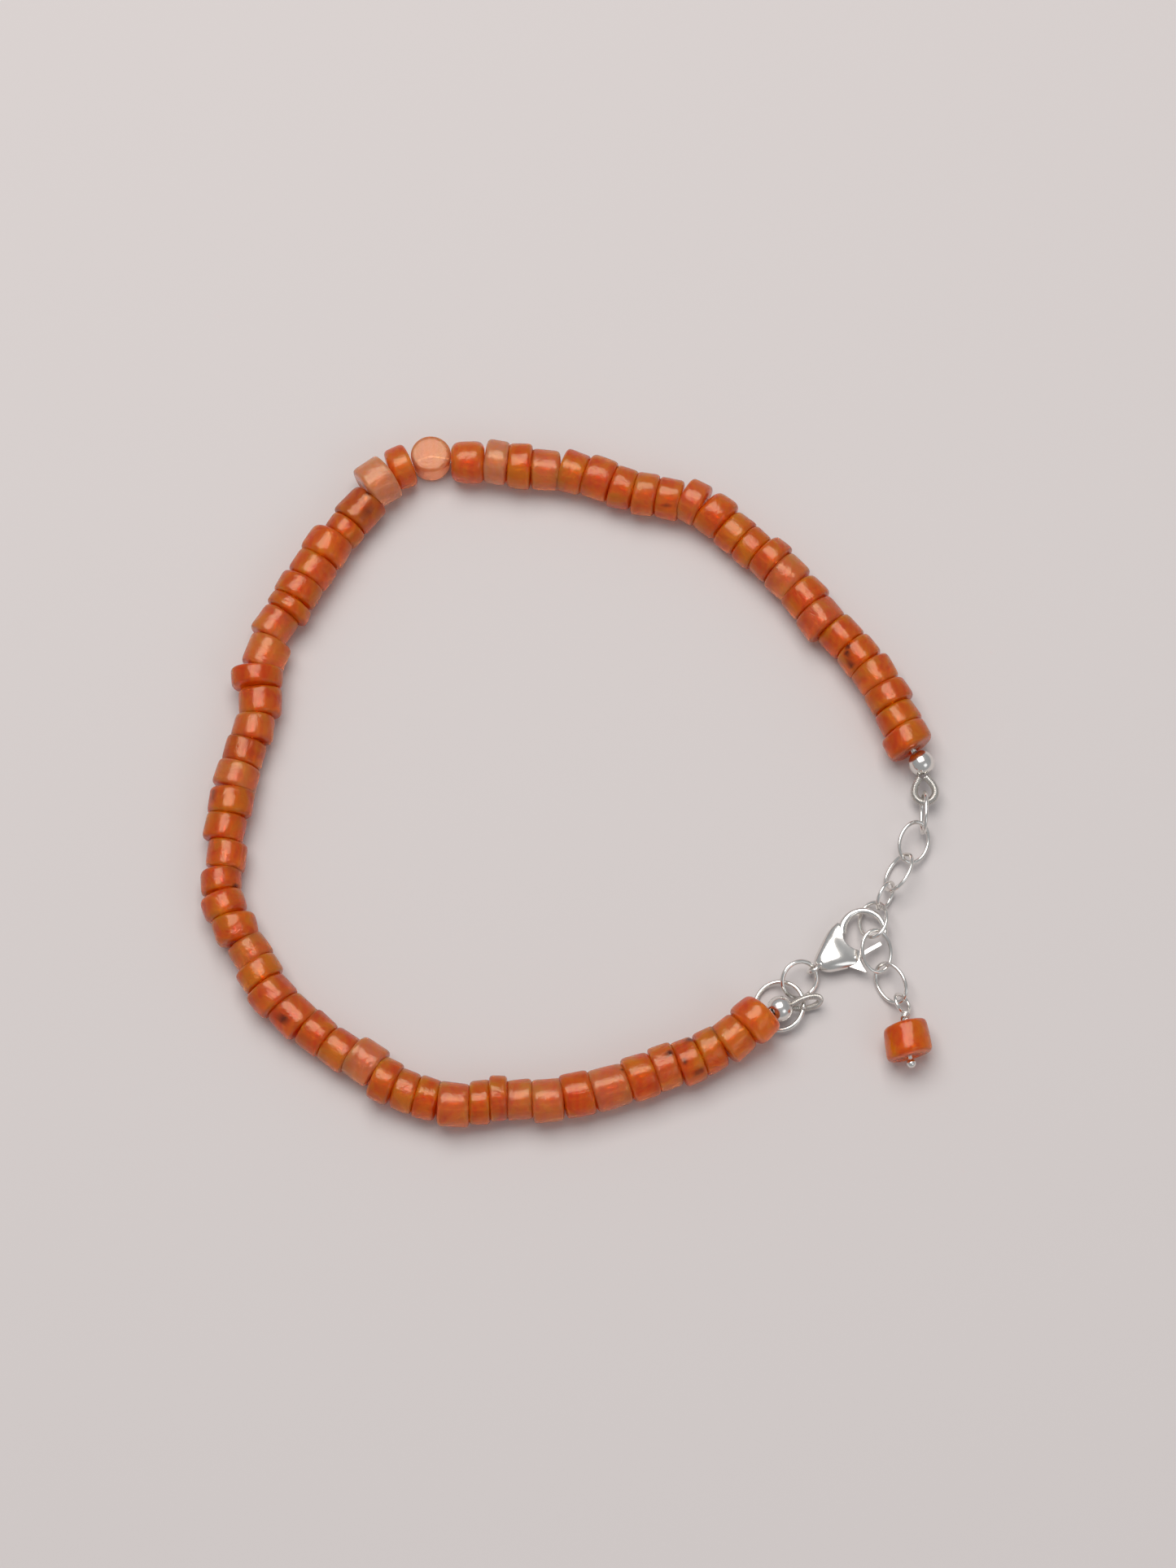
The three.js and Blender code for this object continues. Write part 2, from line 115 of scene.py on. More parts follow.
# The beads in order: thickness, diameter and offset to the inside in mm, lean in degrees,
# roundness from 0 (a crisp tube) to 1 (a barrel), and tone from -1 (dark) to 1 (whitish)
BEADS = [
    (2.3, 4.5, 0.1, 0, 0.6, -0.1), (2.2, 4.0, -0.2, 3, 0.4, 0.0), (2.2, 4.2, -0.4, 0, 0.4, -0.1),
    (2.5, 4.0, -0.5, -3, 0.3, 0.2), (2.4, 4.0, -0.4, 0, 0.5, 0.0), (2.5, 3.8, -0.3, 2, 0.4, 0.1),
    (2.5, 4.2, 0.2, -3, 0.3, 0.35), (2.5, 4.1, -0.2, 0, 0.5, 0.1), (2.6, 4.0, -0.3, 2, 0.4, 0.45),
    (2.1, 4.3, -0.5, 0, 0.5, 0.2), (2.0, 3.8, -0.2, -2, 0.5, 0.05), (2.2, 3.8, -0.3, 0, 0.5, 0.15),
    (2.6, 4.2, -0.6, -5, 0.9, 0.15), (2.1, 4.3, -0.8, -7, 0.5, 0.3), (2.3, 4.0, -0.5, 0, 0.4, 0.2),
    (2.2, 4.1, -0.4, 4, 0.4, 0.25), (2.2, 4.0, -0.5, 0, 0.5, 0.2), (2.6, 4.1, -0.9, -7, 0.4, 0.25),
    (2.4, 4.1, -0.9, -5, 0.4, 0.2), (2.7, 3.8, -0.6, 7, 0.3, 0.45), (2.2, 4.3, -0.5, 4, 0.4, 0.1),
    (2.2, 4.3, -0.6, -4, 0.6, 0.75), (3.1, 4.1, -0.4, 0, 0.9, 0.25),
    # The flat bead's tone is partly its own paler stone and partly painted reflection: it is raised
    # so the whole bead looks as whitish as the light's reflection on its flat top
    (3.36, 2.7, -1.42, 0, 0.0, 0.75),
    (2.1, 4.1, -1.2, -4, 0.7, 0.25), (2.7, 4.5, -1.0, -6, 0.1, 0.8), (3.1, 3.8, -0.2, 0, 0.2, -0.5),
    (1.9, 3.7, 0.0, 0, 0.7, 0.1), (2.7, 4.3, -0.3, 3, 0.6, 0.15), (2.5, 4.1, -0.2, 0, 0.5, 0.2),
    (2.2, 4.3, -0.3, 0, 0.5, 0.1), (1.5, 4.2, -0.2, 0, 0.7, 0.05), (2.8, 3.8, -0.6, -7, 0.3, 0.35),
    (3.1, 3.9, -0.1, -2, 0.2, 0.35), (1.8, 4.7, -0.2, 10, 0.5, 0.0), (2.6, 3.9, 0.4, 7, 0.4, 0.15),
    (2.4, 3.9, 0.1, 0, 0.4, 0.25), (2.5, 3.7, -0.2, 0, 0.3, -0.3), (2.4, 4.0, -0.2, -2, 0.3, 0.4),
    (2.5, 4.1, -0.1, 3, 0.4, -0.1), (2.5, 3.8, -0.2, -3, 0.4, 0.05), (2.6, 3.7, 0.3, -4, 0.4, 0.15),
    (2.2, 3.8, -0.2, -3, 0.4, 0.1), (2.4, 4.1, -0.3, 5, 0.9, 0.15), (2.5, 4.0, 0.1, -5, 0.5, 0.1),
    (2.5, 3.6, 0.5, 6, 0.5, 0.35), (2.1, 4.1, 0.2, 0, 0.4, 0.1), (2.5, 4.1, -0.1, 3, 0.4, 0.2),
    (2.9, 3.8, 0.1, 0, 0.3, 0.2), (2.5, 3.8, 0.4, 0, 0.4, 0.15), (2.6, 3.7, 0.5, 0, 0.4, 0.2),
    (2.8, 4.0, 0.9, -3, 0.2, 0.6), (2.1, 4.2, 0.2, 0, 0.5, 0.15), (2.1, 3.8, 0.1, 0, 0.6, 0.2),
    (2.1, 3.8, 0.1, 2, 0.5, 0.05), (2.8, 4.1, 0.1, 7, 0.3, 0.35), (1.9, 4.0, 0.6, 7, 0.4, 0.1),
    (1.6, 4.1, 1.0, 3, 0.4, 0.2), (2.3, 3.7, 0.8, 0, 0.3, 0.4), (2.8, 4.0, 0.4, -3, 0.3, 0.45),
    (2.7, 4.1, 0.4, -2, 0.3, 0.0), (3.3, 4.0, 0.3, 0, 0.3, 0.5), (2.6, 4.2, 0.4, 1, 0.4, 0.05),
    (2.2, 4.1, 0.5, 0, 0.3, 0.3), (2.2, 4.2, 0.2, 0, 0.5, 0.1), (2.2, 4.0, 0.3, 0, 0.5, 0.15),
    (2.5, 4.0, 0.1, 3, 0.3, 0.25), (2.6, 4.4, 0.1, 8, 0.8, 0.2),
]
COIN = 23  # the bead that lies flat: its row gives its run along the string and its height
COIN_DIAMETER = 3.75
# The last beads are held up off the surface by the silver bead beside them, in mm
RISES = {len(BEADS) - 1: 0.8, len(BEADS) - 2: 0.3}
FLOOR_GAP = 0.01
BEAD_SIDES = 44
BEAD_ROWS = 24
BEAD_SEAT = 1.03  # beads press into each other a little, as they do on a tight string
TUBE_EXPONENT = 8.5  # of the superellipse that a bead's wall follows
BARREL_EXPONENT = 3.5
# How uneven each bead is: squash and taper as shares, wedge in degrees, and wobble in mm with
# the scale of its noise
UNEVEN = {"squash": (0.97, 1.02), "wedge": 4, "taper": 0.035, "wobble": 0.09, "scale": 380}

# Dark inclusions: bead, place along it from -0.5 to 0.5, degrees from its top to the inside,
# and size in mm
INCLUSIONS = [
    (4, -0.2, 48, 0.38), (4, 0.15, 35, 0.34), (4, 0.4, 22, 0.3), (26, -0.45, -4, 0.3),
    (26, 0.1, 33, 0.42), (39, -0.1, -49, 0.34), (42, 0.45, 50, 0.38), (48, 0.0, -32, 0.36),
    (63, 0.3, 20, 0.3), (64, -0.2, -6, 0.3), (64, 0.15, -46, 0.34), (64, 0.4, 50, 0.42),
    (61, 0.45, 30, 0.22), (14, 0.1, 40, 0.26),
]
SPOT_REACH = 1.6  # how far a spot fades out, in sizes
SPOT_GAIN = 1.8
TONE_POWER = 2.0  # keeps the beads with a low tone well coloured
SEED_SPREAD = 0.5

# Stone: its clouds' scale and where they change colour, how far its veins show, its roughness
# and what grain adds to it, and the strength and depth of its two bumps, in metres
STONE = {
    "clouds": 420.0, "stops": (0.38, 0.5, 0.64), "veins": 0.22, "roughness": 0.12, "grain": 0.18,
    "waves": (0.5, 0.0005), "bumps": (0.14, 0.00015),
}
GRAIN_FINENESS = 5.0  # times the clouds' scale
MARKS_SCALE = 900.0
MARKS_DEPTH = 0.00003
HAZE_TINT = (0.8, -0.1)  # how haze turns the shade of silver into its colour
SILVER_SHADE = (0.72, 0.69, 0.65)
COIL_COLOUR = (0.86, 0.84, 0.8)
COIL_SHADE = (0.6, 0.57, 0.53)
# Sockets of the colour mix node
MIX_FACTOR, MIX_FIRST, MIX_SECOND, MIX_RESULT = 0, 6, 7, 2

# Clasp in its own frame, in mm: x runs from its eye to its hook
PIVOT = Vector((3.44, -1.5, 0.0))
PIVOT_PIN = {"radius": 0.14, "half": 0.42, "bevel": 0.05}
PIVOT_HOLE = 0.24
GATE = {"length": 2.78, "half_width": 0.19, "heading": -7}
THUMB_TAB = [(-0.95, -0.3), (0.04, -1.76), (0.3, -0.35)]
TAB_ROOT = 0.1  # how far the thumb tab reaches past the pivot
LEVER_HALF = 0.16
LEVER_BOSS = 0.45
LEVER_CLEARANCE = 0.13
# The hook runs from its tip to its root, which grows by the root's extra from root_from on
HOOK = {
    "x": 5.6, "radius": 1.95, "wire": 0.31, "tip": 0.26, "from": -52, "to": 150,
    "thickening": 3, "root": 0.1, "root_from": 0.6, "steps": 40,
}
HOLLOW = {"x": 5.4, "half_length": 1.75, "half_width": 1.6, "half_depth": 2}
EYE = {"place": (-0.12, -0.07, 0.1), "radius": 0.64, "wire": 0.18, "tilt": 20, "steps": 40}
# Sections of the cast body: x, right edge, left edge, half thickness
BODY_SECTIONS = [
    (0.28, -0.62, 0.5, 0.42), (0.75, -1.12, 0.82, 0.66), (1.5, -1.52, 1.22, 0.78),
    (2.5, -1.93, 1.72, 0.72), (3.4, -2.22, 2.02, 0.52), (4.25, -1.7, 2.12, 0.38),
]
SECTION_STEPS = 20
BODY_SIDES = 48
BODY_CUTS = 34
BODY_SQUARENESS = 0.8  # under 1 fills out the body's sides
# Castings: voxel in mm and rounds of smoothing
GROWN = {"cast": (0.05, 2), "clasp_body_cast": (0.045, 6), "clasp_lever_cast": (0.03, 4)}

# Camera, from the photograph's angle and framing, in mm of the drawing
CAMERA_PLACE = Vector((1.65, -100.73, 353.26))
CAMERA_TILT = 16
CAMERA_FOCAL = 91.54
CAMERA_SENSOR = 36
CAMERA_CLIP = 0.01

# Soft lights that face the origin, and the floor, in metres
LIGHTS = {
    "key_light": {"place": (-0.08, 0.22, 0.60), "size": (0.52, 0.48), "colour": (1.0, 0.97, 0.95)},
    "fill_light": {"place": (0.4, -0.35, 0.45), "size": (0.3, 0.3), "colour": (0.94, 0.97, 1.0)},
}
WORLD_COLOUR = (0.95, 0.97, 1.0, 1.0)
WORLD_STRENGTH = 0.38
FLOOR_SIZE = 1.5


def turn(heading, pitch=0.0, roll=0.0):
    """A turn by the roll, then the pitch, which lifts the X end, then the heading, in degrees."""
    heading_turn = Matrix.Rotation(math.radians(heading), 4, "Z")
    pitch_turn = Matrix.Rotation(math.radians(-pitch), 4, "Y")
    return heading_turn @ pitch_turn @ Matrix.Rotation(math.radians(roll), 4, "X")


# The frame's hinge shows where the drawing lies
DRAWING = Vector(HINGE["pos_m"]) / MM - Vector(CLASP_PLACE[:3]) - turn(CLASP_PLACE[3]) @ PIVOT


def at(x, y, z=0.0):
    """A point of the drawing, in metres of the frame."""
    return (Vector((x, y, z)) + DRAWING) * MM


def placed(place):
    """A matrix from a piece's own frame, in metres, to its place in the drawing."""
    return Matrix.Translation(at(*place[:3])) @ turn(*place[3:])


def new_piece(name, bm, material, smooth=True):
    """An object with the mesh and the material, linked to the scene."""
    mesh = bpy.data.meshes.new(name)
    bm.to_mesh(mesh)
    bm.free()
    if smooth:
        mesh.shade_smooth()
    mesh.materials.append(material)
    piece = bpy.data.objects.new(name, mesh)
    bpy.context.scene.collection.objects.link(piece)
    return piece


def settle(piece, body, slot, *nodes):
    """The piece rides on its body and stands for its nodes. Its slot is not used."""
    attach(piece, body)
    if nodes:
        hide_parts(*nodes)


def ring_of(bm, radius, sides, matrix):
    """A circle of edges across the matrix's X axis."""
    across = matrix @ Matrix.Rotation(math.pi / 2, 4, "Y")
    made = bmesh.ops.create_circle(bm, segments=sides, radius=radius, matrix=across)
    return list(dict.fromkeys(edge for vert in made["verts"] for edge in vert.link_edges))


def path_frames(points, closed):
    """A matrix at each point, with X along the path and no twist from one to the next."""
    count = len(points)
    ways = []
    for i in range(count):
        before = points[i - 1] if closed or i > 0 else points[0]
        after = points[(i + 1) % count] if closed or i < count - 1 else points[-1]
        ways.append((after - before).normalized())
    side = ways[0].orthogonal().normalized()
    frames = []
    for point, way in zip(points, ways):
        side = (side - way * side.dot(way)).normalized()
        frame_at = Matrix((way, side, way.cross(side))).transposed().to_4x4()
        frame_at.translation = point
        frames.append(frame_at)
    return frames


def sweep(bm, points, radii, sides, closed=False):
    """A wire along the points, with closed ends or joined to itself."""
    frames = path_frames(points, closed)
    first = ring_of(bm, radii[0], sides, frames[0])
    edges = first
    for i in range(1, len(points)):
        made = bmesh.ops.extrude_edge_only(bm, edges=edges)["geom"]
        verts = [g for g in made if isinstance(g, bmesh.types.BMVert)]
        edges = [
            g for g in made
            if isinstance(g, bmesh.types.BMEdge) and all(v in verts for v in g.verts)
        ]
        scale = Matrix.Scale(radii[i] / radii[i - 1], 4)
        step = frames[i] @ scale @ frames[i - 1].inverted()
        bmesh.ops.transform(bm, matrix=step, verts=verts)
    if closed:
        bmesh.ops.bridge_loops(bm, edges=first + edges)
    else:
        bmesh.ops.holes_fill(bm, edges=first + edges, sides=0)
    bmesh.ops.recalc_face_normals(bm, faces=bm.faces)


def link_nodes(material, *pairs):
    """Joins node outputs to inputs, given as (output socket, input socket) pairs."""
    for source, target in pairs:
        material.node_tree.links.new(source, target)


def mask_group(name, *outputs):
    """A node group that takes a vector and a scale and gives masks."""
    group = bpy.data.node_groups.new(name, "ShaderNodeTree")
    group.interface.new_socket("Vector", in_out="INPUT", socket_type="NodeSocketVector")
    group.interface.new_socket("Scale", in_out="INPUT", socket_type="NodeSocketFloat")
    for output in outputs:
        group.interface.new_socket(output, in_out="OUTPUT", socket_type="NodeSocketFloat")
    entry = group.nodes.new("NodeGroupInput")
    leave = group.nodes.new("NodeGroupOutput")
    return group, entry, leave


def cloud_group():
    """Cloudy bands inside a stone: a height for bumps and masks for its colours."""
    group, entry, leave = mask_group("stone_clouds", "Cloud", "Vein", "Grain")
    nodes = group.nodes
    links = group.links
    cloud = nodes.new("ShaderNodeTexNoise")
    cloud.inputs["Detail"].default_value = 4.0
    cloud.inputs["Distortion"].default_value = 0.6
    vein = nodes.new("ShaderNodeTexWave")
    vein.inputs["Distortion"].default_value = 7.0
    vein.inputs["Detail"].default_value = 3.0
    grain = nodes.new("ShaderNodeTexNoise")
    grain.inputs["Detail"].default_value = 6.0
    finer = nodes.new("ShaderNodeMath")
    finer.operation = "MULTIPLY"
    finer.inputs[1].default_value = GRAIN_FINENESS
    links.new(entry.outputs["Scale"], cloud.inputs["Scale"])
    links.new(entry.outputs["Scale"], finer.inputs[0])
    links.new(finer.outputs[0], grain.inputs["Scale"])
    links.new(entry.outputs["Scale"], vein.inputs["Scale"])
    for node in (cloud, vein, grain):
        links.new(entry.outputs["Vector"], node.inputs["Vector"])
    links.new(cloud.outputs["Fac"], leave.inputs["Cloud"])
    links.new(vein.outputs["Fac"], leave.inputs["Vein"])
    links.new(grain.outputs["Fac"], leave.inputs["Grain"])
    return group


def ramp(nodes, stops):
    """A colour ramp with the stops, given as (position, colour) pairs."""
    node = nodes.new("ShaderNodeValToRGB")
    elements = node.color_ramp.elements
    while len(elements) < len(stops):
        elements.new(0.5)
    for element, (position, colour) in zip(elements, stops):
        element.position = position
        element.color = (*colour, 1.0)
    return node


def mixed(material, factor, first, second):
    """A colour mix. Each of the three may be a socket or a plain value."""
    node = material.node_tree.nodes.new("ShaderNodeMix")
    node.data_type = "RGBA"
    for index, value in ((MIX_FACTOR, factor), (MIX_FIRST, first), (MIX_SECOND, second)):
        if isinstance(value, bpy.types.NodeSocket):
            material.node_tree.links.new(value, node.inputs[index])
        elif index == MIX_FACTOR:
            node.inputs[index].default_value = value
        else:
            node.inputs[index].default_value = (*value, 1.0)
    return node.outputs[MIX_RESULT]


def scaled(material, value, factor, extra=0.0):
    """A socket's value times the factor plus the extra, kept from 0 to 1."""
    node = material.node_tree.nodes.new("ShaderNodeMath")
    node.operation = "MULTIPLY_ADD"
    node.use_clamp = True
    material.node_tree.links.new(value, node.inputs[0])
    node.inputs[1].default_value = factor
    node.inputs[2].default_value = extra
    return node.outputs[0]


def attribute(material, name):
    node = material.node_tree.nodes.new("ShaderNodeAttribute")
    node.attribute_name = name
    return node


def carnelian(style):
    """Polished translucent stone: cloudy orange, with paler and darker beads by their tone."""
    material = bpy.data.materials.new("polished_carnelian")
    material.use_nodes = True
    nodes = material.node_tree.nodes
    shader = nodes["Principled BSDF"]
    place = nodes.new("ShaderNodeTexCoord")
    seed = attribute(material, "bead_seed")
    shifted = nodes.new("ShaderNodeVectorMath")
    shifted.operation = "ADD"
    clouds = nodes.new("ShaderNodeGroup")
    clouds.node_tree = cloud_group()
    clouds.inputs["Scale"].default_value = STONE["clouds"]
    link_nodes(
        material,
        (place.outputs["Object"], shifted.inputs[0]),
        (seed.outputs["Vector"], shifted.inputs[1]),
        (shifted.outputs[0], clouds.inputs["Vector"]),
    )
    body = ramp(nodes, list(zip(STONE["stops"], (style.deep, style.middle, style.light))))
    link_nodes(material, (clouds.outputs["Cloud"], body.inputs["Fac"]))
    pale = attribute(material, "bead_pale").outputs["Fac"]
    dark = attribute(material, "bead_dark").outputs["Fac"]
    spot = attribute(material, "inclusion").outputs["Fac"]
    colour = mixed(material, pale, body.outputs["Color"], style.pale)
    colour = mixed(material, dark, colour, style.dark)
    veined = scaled(material, clouds.outputs["Vein"], STONE["veins"])
    colour = mixed(material, veined, colour, style.light)
    colour = mixed(material, spot, colour, style.inclusion)
    shine = scaled(material, clouds.outputs["Grain"], STONE["grain"], STONE["roughness"])
    waves = nodes.new("ShaderNodeBump")
    bump = nodes.new("ShaderNodeBump")
    for node, (strength, depth) in ((waves, STONE["waves"]), (bump, STONE["bumps"])):
        node.inputs["Strength"].default_value = strength
        node.inputs["Distance"].default_value = depth
    link_nodes(
        material,
        (colour, shader.inputs["Base Color"]),
        (shine, shader.inputs["Roughness"]),
        (clouds.outputs["Cloud"], waves.inputs["Height"]),
        (waves.outputs["Normal"], bump.inputs["Normal"]),
        (clouds.outputs["Grain"], bump.inputs["Height"]),
        (bump.outputs["Normal"], shader.inputs["Normal"]),
    )
    shader.inputs["IOR"].default_value = 1.52
    shader.inputs["Specular Tint"].default_value = (1.0, 0.78, 0.55, 1.0)
    shader.inputs["Subsurface Weight"].default_value = 0.8
    shader.inputs["Subsurface Radius"].default_value = (1.0, 0.5, 0.2)
    shader.inputs["Subsurface Scale"].default_value = 0.0018
    shader.inputs["Transmission Weight"].default_value = 0.65
    shader.inputs["Coat Weight"].default_value = 0.1
    shader.inputs["Coat Roughness"].default_value = 0.08
    return material


def polish_group():
    """Fine polishing marks on metal: a roughness mask and a height."""
    group, entry, leave = mask_group("polish_marks", "Haze", "Height")
    nodes = group.nodes
    links = group.links
    haze = nodes.new("ShaderNodeTexNoise")
    haze.inputs["Detail"].default_value = 5.0
    marks = nodes.new("ShaderNodeTexNoise")
    marks.inputs["Detail"].default_value = 8.0
    marks.inputs["Roughness"].default_value = 0.7
    for node in (haze, marks):
        links.new(entry.outputs["Vector"], node.inputs["Vector"])
        links.new(entry.outputs["Scale"], node.inputs["Scale"])
    links.new(haze.outputs["Fac"], leave.inputs["Haze"])
    links.new(marks.outputs["Fac"], leave.inputs["Height"])
    return group


def silver_finish(name, colour, shade, marks, roughness, spread, bump_strength):
    """Silver with polishing marks, a little darker where its haze is deep."""
    material = bpy.data.materials.new(name)
    material.use_nodes = True
    nodes = material.node_tree.nodes
    shader = nodes["Principled BSDF"]
    place = nodes.new("ShaderNodeTexCoord")
    polish = nodes.new("ShaderNodeGroup")
    polish.node_tree = marks
    polish.inputs["Scale"].default_value = MARKS_SCALE
    bump = nodes.new("ShaderNodeBump")
    bump.inputs["Strength"].default_value = bump_strength
    bump.inputs["Distance"].default_value = MARKS_DEPTH
    tint = scaled(material, polish.outputs["Haze"], *HAZE_TINT)
    metal_colour = mixed(material, tint, shade, colour)
    rough = scaled(material, polish.outputs["Haze"], spread, roughness)
    link_nodes(
        material,
        (place.outputs["Object"], polish.inputs["Vector"]),
        (metal_colour, shader.inputs["Base Color"]),
        (rough, shader.inputs["Roughness"]),
        (polish.outputs["Height"], bump.inputs["Height"]),
        (bump.outputs["Normal"], shader.inputs["Normal"]),
    )
    shader.inputs["Metallic"].default_value = 1.0
    return material


def finishes():
    """The bracelet's materials, made once."""
    made = bpy.data.materials
    if "polished_carnelian" not in made:
        style = bpy.context.scene.bracelet_colours
        marks = polish_group()
        carnelian(style)
        silver_finish(
            "polished_silver", style.silver, SILVER_SHADE, marks,
            roughness=0.12, spread=0.16, bump_strength=0.12)
        silver_finish(
            "coiled_silver", COIL_COLOUR, COIL_SHADE, marks,
            roughness=0.16, spread=0.2, bump_strength=0.2)
    return made["polished_carnelian"], made["polished_silver"], made["coiled_silver"]


def spline_point(route, place):
    """A point of the centripetal spline through the route, with place counted in points."""
    last = len(route) - 1
    i = min(int(place), last - 1)
    p1 = route[i]
    p2 = route[i + 1]
    p0 = route[i - 1] if i > 0 else p1 * 2 - p2
    p3 = route[i + 2] if i + 2 <= last else p2 * 2 - p1
    times = [0.0]
    for a, b in ((p0, p1), (p1, p2), (p2, p3)):
        times.append(times[-1] + math.sqrt((b - a).length))
    t0, t1, t2, t3 = times
    t = t1 + (t2 - t1) * (place - i)
    a1 = p0.lerp(p1, (t - t0) / (t1 - t0))
    a2 = p1.lerp(p2, (t - t1) / (t2 - t1))
    a3 = p2.lerp(p3, (t - t2) / (t3 - t2))
    b1 = a1.lerp(a2, (t - t0) / (t2 - t0))
    b2 = a2.lerp(a3, (t - t1) / (t3 - t1))
    return b1.lerp(b2, (t - t1) / (t2 - t1))


def string_line():
    """The route as many short steps: points and the run up to each, in mm."""
    route = [Vector(point) for point in STRING_ROUTE]
    steps = STRING_STEPS * (len(route) - 1)
    points = [spline_point(route, i / STRING_STEPS) for i in range(steps)] + [route[-1]]
    runs = [0.0]
    for a, b in zip(points, points[1:]):
        runs.append(runs[-1] + (b - a).length)
    return points, runs


def bead_places():
    """The middle of each bead in mm, and the string's heading through it in degrees."""
    points, runs = string_line()
    thick = [bead[0] for bead in BEADS]
    gaps = [(a + b) / 2 for a, b in zip(thick, thick[1:])]
    share = runs[-1] / sum(gaps)
    places = []
    run = 0.0
    for i, bead in enumerate(BEADS):
        if i:
            run += gaps[i - 1] * share
        k = min(int(np.searchsorted(runs, run)), len(runs) - 1)
        k = max(k, 1)
        part = (run - runs[k - 1]) / (runs[k] - runs[k - 1])
        middle = points[k - 1].lerp(points[k], min(part, 1.0))
        way = (points[k] - points[k - 1]).normalized()
        inward = Vector((-way.y, way.x))
        middle = middle + inward * bead[2]
        places.append((middle, math.degrees(math.atan2(way.y, way.x))))
    return places


def turned(bm, profile, sides, closed):
    """Spins rows of distance along X and radius, in metres, about X."""
    verts = [bm.verts.new((along, 0, radius)) for along, radius in profile]
    edges = [bm.edges.new(pair) for pair in zip(verts, verts[1:])]
    if closed:
        edges.append(bm.edges.new((verts[-1], verts[0])))
    bmesh.ops.spin(
        bm, geom=verts + edges, cent=(0, 0, 0), axis=(1, 0, 0), angle=2 * math.pi, steps=sides,
        use_merge=True, use_duplicate=False,
    )
    bmesh.ops.remove_doubles(bm, verts=bm.verts, dist=1e-7)
    bmesh.ops.recalc_face_normals(bm, faces=bm.faces)


def bead_profile(half, radius, bore, roundness):
    """Rows of a drilled bead's wall, from a crisp tube to a barrel."""
    power = 2 / (TUBE_EXPONENT + (BARREL_EXPONENT - TUBE_EXPONENT) * roundness)
    rows = []
    for i in range(BEAD_ROWS + 1):
        a = math.pi * i / BEAD_ROWS
        along = half * math.copysign(abs(math.cos(a)) ** power, math.cos(a))
        rows.append((along, bore + (radius - bore) * math.sin(a) ** power))
    return rows


def bead_mesh(index, thickness, diameter, roundness, draw, slant=None):
    """One bead about X, a little uneven and wedge shaped, and drilled unless it lies flat."""
    bm = bmesh.new()
    half = thickness / 2 * MM
    bore = bpy.context.scene.bracelet_sizes.hole_radius if index != COIN else 0.0
    turned(bm, bead_profile(half, diameter / 2 * MM, bore, roundness), BEAD_SIDES, bore > 0)
    squash = draw.uniform(*UNEVEN["squash"])
    if slant is None:
        slant = draw.uniform(-UNEVEN["wedge"], UNEVEN["wedge"])
    wedge = math.tan(math.radians(slant))
    taper = draw.uniform(-UNEVEN["taper"], UNEVEN["taper"])
    noise.seed_set(SEED)  # without it the noise is another in each run
    offset = Vector((index * 3.1, index * 1.7, 0.3))
    for vert in bm.verts:
        x = vert.co.x / half
        vert.co.y *= squash * (1 + taper * x)
        vert.co.z *= 1 + taper * x
        vert.co.x += vert.co.y * wedge
        wobble = noise.noise_vector(vert.co * UNEVEN["scale"] + offset)
        vert.co += wobble * UNEVEN["wobble"] * MM
    return bm


def bead_layers(bm):
    """Layers that the stone's finish reads: paleness, darkness, inclusions and seed."""
    layers = bm.verts.layers
    masks = [layers.float.new(name) for name in ("bead_pale", "bead_dark", "inclusion")]
    return *masks, layers.float_vector.new("bead_seed")


def paint(bm, half, tone, index, draw):
    """Tone, seed and inclusions of one bead, kept on its vertices."""
    pale, dark, spot, seed = bead_layers(bm)
    shift = Vector([draw.uniform(-SEED_SPREAD, SEED_SPREAD) for _ in range(3)])
    for vert in bm.verts:
        vert[pale] = max(tone, 0.0) ** TONE_POWER
        vert[dark] = max(-tone, 0.0)
        vert[seed] = shift
    radius = max(v.co.yz.length for v in bm.verts)
    for bead, along, angle, size in INCLUSIONS:
        if bead != index:
            continue
        a = math.radians(angle)
        middle = Vector((along * 2 * half, math.sin(a) * radius, math.cos(a) * radius))
        for vert in bm.verts:
            near = 1 - (vert.co - middle).length / (size * SPOT_REACH * MM)
            vert[spot] = max(vert[spot], min(1.0, max(0.0, near) * SPOT_GAIN))


def string_beads(material):
    """All the stone beads of the string, each on the surface or a little above it."""
    draw = random.Random(SEED)
    whole = bmesh.new()
    bead_layers(whole)
    for i, ((middle, heading), bead) in enumerate(zip(bead_places(), BEADS)):
        thickness, diameter, _, lean, roundness, tone = bead
        if i == COIN:
            bm = bead_mesh(i, diameter, COIN_DIAMETER, roundness, draw)
            bmesh.ops.rotate(bm, verts=bm.verts, matrix=Matrix.Rotation(math.pi / 2, 3, "Y"))
        else:
            bm = bead_mesh(i, thickness * BEAD_SEAT, diameter, roundness, draw)
        paint(bm, thickness / 2 * MM, tone, i, draw)
        low = min(v.co.z for v in bm.verts)
        height = -low / MM + RISES.get(i, 0.0) + FLOOR_GAP
        place = Matrix.Translation(at(middle.x, middle.y, height)) @ turn(heading + lean)
        bmesh.ops.transform(bm, matrix=place, verts=bm.verts)
        part = bpy.data.meshes.new("one_bead")
        bm.to_mesh(part)
        bm.free()
        whole.from_mesh(part)
        bpy.data.meshes.remove(part)
    bmesh.ops.recalc_face_normals(whole, faces=whole.faces)
    return new_piece("carnelian_beads", whole, material)


